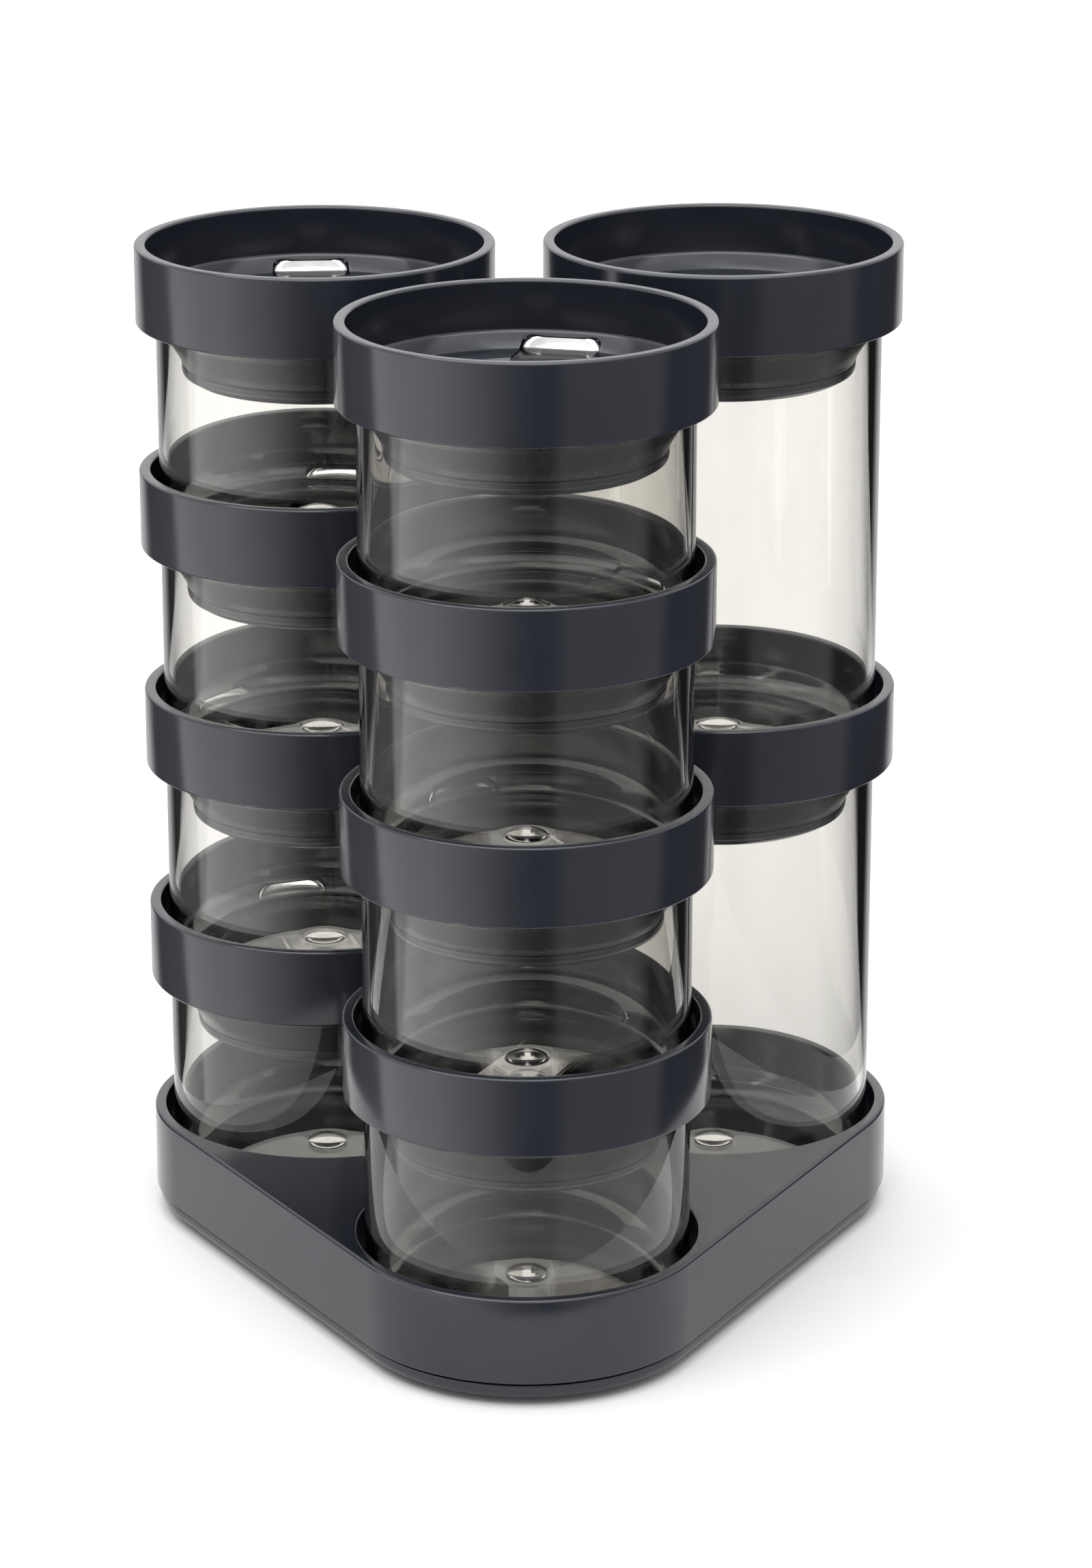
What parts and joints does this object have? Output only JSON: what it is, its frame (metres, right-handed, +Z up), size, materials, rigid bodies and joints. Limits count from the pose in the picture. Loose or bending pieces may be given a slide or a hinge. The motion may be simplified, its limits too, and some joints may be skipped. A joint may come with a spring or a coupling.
{
  "type": "spice carousel",
  "caption": "Rotating spice carousel: lidded glass jars nest in three stacks on a rounded-triangle tray that turns on a base plate.",
  "frame": {"origin": "the axis that the tray turns about, at the surface that the feet stand on", "axes": "+Z up along the turning axis, -Y towards the front stack, +X to the right"},
  "size_m": [0.163, 0.1514, 0.2185],
  "materials": {
    "plastic": "polished dark slate grey",
    "glass": "clear borosilicate",
    "steel": "polished stainless steel",
    "silicone": "glossy black silicone",
    "rubber": "matt black",
    "brass": "machined",
    "cage": "natural nylon",
    "bearing_steel": "bearing and screw steel"
  },
  "bodies": {
    "base": {"base_plate": "plastic", "rubber_feet": "rubber", "centre_pad": "rubber", "pivot_bush": "brass"},
    "turntable": {"tray": "plastic", "pivot_screw": "bearing_steel", "pivot_washer": "bearing_steel"},
    "bearing": {"ball_cage": "cage", "bearing_balls": "bearing_steel"},
    "front_jar_1": {"front_jar_1": "glass"},
    "front_lid_1": {"front_lid_1": "plastic", "front_strap_1": "steel", "front_seal_1": "silicone", "front_plug_1": "plastic"},
    "front_jar_2": {"front_jar_2": "glass"},
    "front_lid_2": {"front_lid_2": "plastic", "front_strap_2": "steel", "front_seal_2": "silicone", "front_plug_2": "plastic"},
    "front_jar_3": {"front_jar_3": "glass"},
    "front_lid_3": {"front_lid_3": "plastic", "front_strap_3": "steel", "front_seal_3": "silicone", "front_plug_3": "plastic"},
    "front_jar_4": {"front_jar_4": "glass"},
    "front_lid_4": {"front_lid_4": "plastic", "front_strap_4": "steel", "front_seal_4": "silicone", "front_plug_4": "plastic"},
    "left_jar_1": {"left_jar_1": "glass"},
    "left_lid_1": {"left_lid_1": "plastic", "left_strap_1": "steel", "left_seal_1": "silicone", "left_plug_1": "plastic"},
    "left_jar_2": {"left_jar_2": "glass"},
    "left_lid_2": {"left_lid_2": "plastic", "left_strap_2": "steel", "left_seal_2": "silicone", "left_plug_2": "plastic"},
    "left_jar_3": {"left_jar_3": "glass"},
    "left_lid_3": {"left_lid_3": "plastic", "left_strap_3": "steel", "left_seal_3": "silicone", "left_plug_3": "plastic"},
    "left_jar_4": {"left_jar_4": "glass"},
    "left_lid_4": {"left_lid_4": "plastic", "left_strap_4": "steel", "left_seal_4": "silicone", "left_plug_4": "plastic"},
    "right_jar_1": {"right_jar_1": "glass"},
    "right_lid_1": {"right_lid_1": "plastic", "right_strap_1": "steel", "right_seal_1": "silicone", "right_plug_1": "plastic"},
    "right_jar_2": {"right_jar_2": "glass"},
    "right_lid_2": {"right_lid_2": "plastic", "right_strap_2": "steel", "right_seal_2": "silicone", "right_plug_2": "plastic"}
  },
  "joints": [
    {"name": "turntable_spin", "type": "hinge", "parent": "base", "child": "turntable", "pos_m": [0, 0, 0.015], "axis": [0, 0, 1], "continuous": true},
    {"name": "bearing_spin", "type": "hinge", "parent": "base", "child": "bearing", "pos_m": [0, 0, 0.0055], "axis": [0, 0, 1], "continuous": true},
    {"name": "front_jar_1_lift", "type": "slide", "parent": "turntable", "child": "front_jar_1", "axis": [0, 0, 1], "range_m": [0, 0.022]},
    {"name": "front_lid_1_lift", "type": "slide", "parent": "front_jar_1", "child": "front_lid_1", "axis": [0, 0, 1], "range_m": [0, 0.024]},
    {"name": "front_jar_2_lift", "type": "slide", "parent": "front_lid_1", "child": "front_jar_2", "axis": [0, 0, 1], "range_m": [0, 0.022]},
    {"name": "front_lid_2_lift", "type": "slide", "parent": "front_jar_2", "child": "front_lid_2", "axis": [0, 0, 1], "range_m": [0, 0.024]},
    {"name": "front_jar_3_lift", "type": "slide", "parent": "front_lid_2", "child": "front_jar_3", "axis": [0, 0, 1], "range_m": [0, 0.022]},
    {"name": "front_lid_3_lift", "type": "slide", "parent": "front_jar_3", "child": "front_lid_3", "axis": [0, 0, 1], "range_m": [0, 0.024]},
    {"name": "front_jar_4_lift", "type": "slide", "parent": "front_lid_3", "child": "front_jar_4", "axis": [0, 0, 1], "range_m": [0, 0.022]},
    {"name": "front_lid_4_lift", "type": "slide", "parent": "front_jar_4", "child": "front_lid_4", "axis": [0, 0, 1], "range_m": [0, 0.024]},
    {"name": "left_jar_1_lift", "type": "slide", "parent": "turntable", "child": "left_jar_1", "axis": [0, 0, 1], "range_m": [0, 0.022]},
    {"name": "left_lid_1_lift", "type": "slide", "parent": "left_jar_1", "child": "left_lid_1", "axis": [0, 0, 1], "range_m": [0, 0.024]},
    {"name": "left_jar_2_lift", "type": "slide", "parent": "left_lid_1", "child": "left_jar_2", "axis": [0, 0, 1], "range_m": [0, 0.022]},
    {"name": "left_lid_2_lift", "type": "slide", "parent": "left_jar_2", "child": "left_lid_2", "axis": [0, 0, 1], "range_m": [0, 0.024]},
    {"name": "left_jar_3_lift", "type": "slide", "parent": "left_lid_2", "child": "left_jar_3", "axis": [0, 0, 1], "range_m": [0, 0.022]},
    {"name": "left_lid_3_lift", "type": "slide", "parent": "left_jar_3", "child": "left_lid_3", "axis": [0, 0, 1], "range_m": [0, 0.024]},
    {"name": "left_jar_4_lift", "type": "slide", "parent": "left_lid_3", "child": "left_jar_4", "axis": [0, 0, 1], "range_m": [0, 0.022]},
    {"name": "left_lid_4_lift", "type": "slide", "parent": "left_jar_4", "child": "left_lid_4", "axis": [0, 0, 1], "range_m": [0, 0.024]},
    {"name": "right_jar_1_lift", "type": "slide", "parent": "turntable", "child": "right_jar_1", "axis": [0, 0, 1], "range_m": [0, 0.022]},
    {"name": "right_lid_1_lift", "type": "slide", "parent": "right_jar_1", "child": "right_lid_1", "axis": [0, 0, 1], "range_m": [0, 0.024]},
    {"name": "right_jar_2_lift", "type": "slide", "parent": "right_lid_1", "child": "right_jar_2", "axis": [0, 0, 1], "range_m": [0, 0.022]},
    {"name": "right_lid_2_lift", "type": "slide", "parent": "right_jar_2", "child": "right_lid_2", "axis": [0, 0, 1], "range_m": [0, 0.024]}
  ],
  "couplings": [
    {"joint": "bearing_spin", "follows": "turntable_spin", "ratio": 0.5}
  ]
}
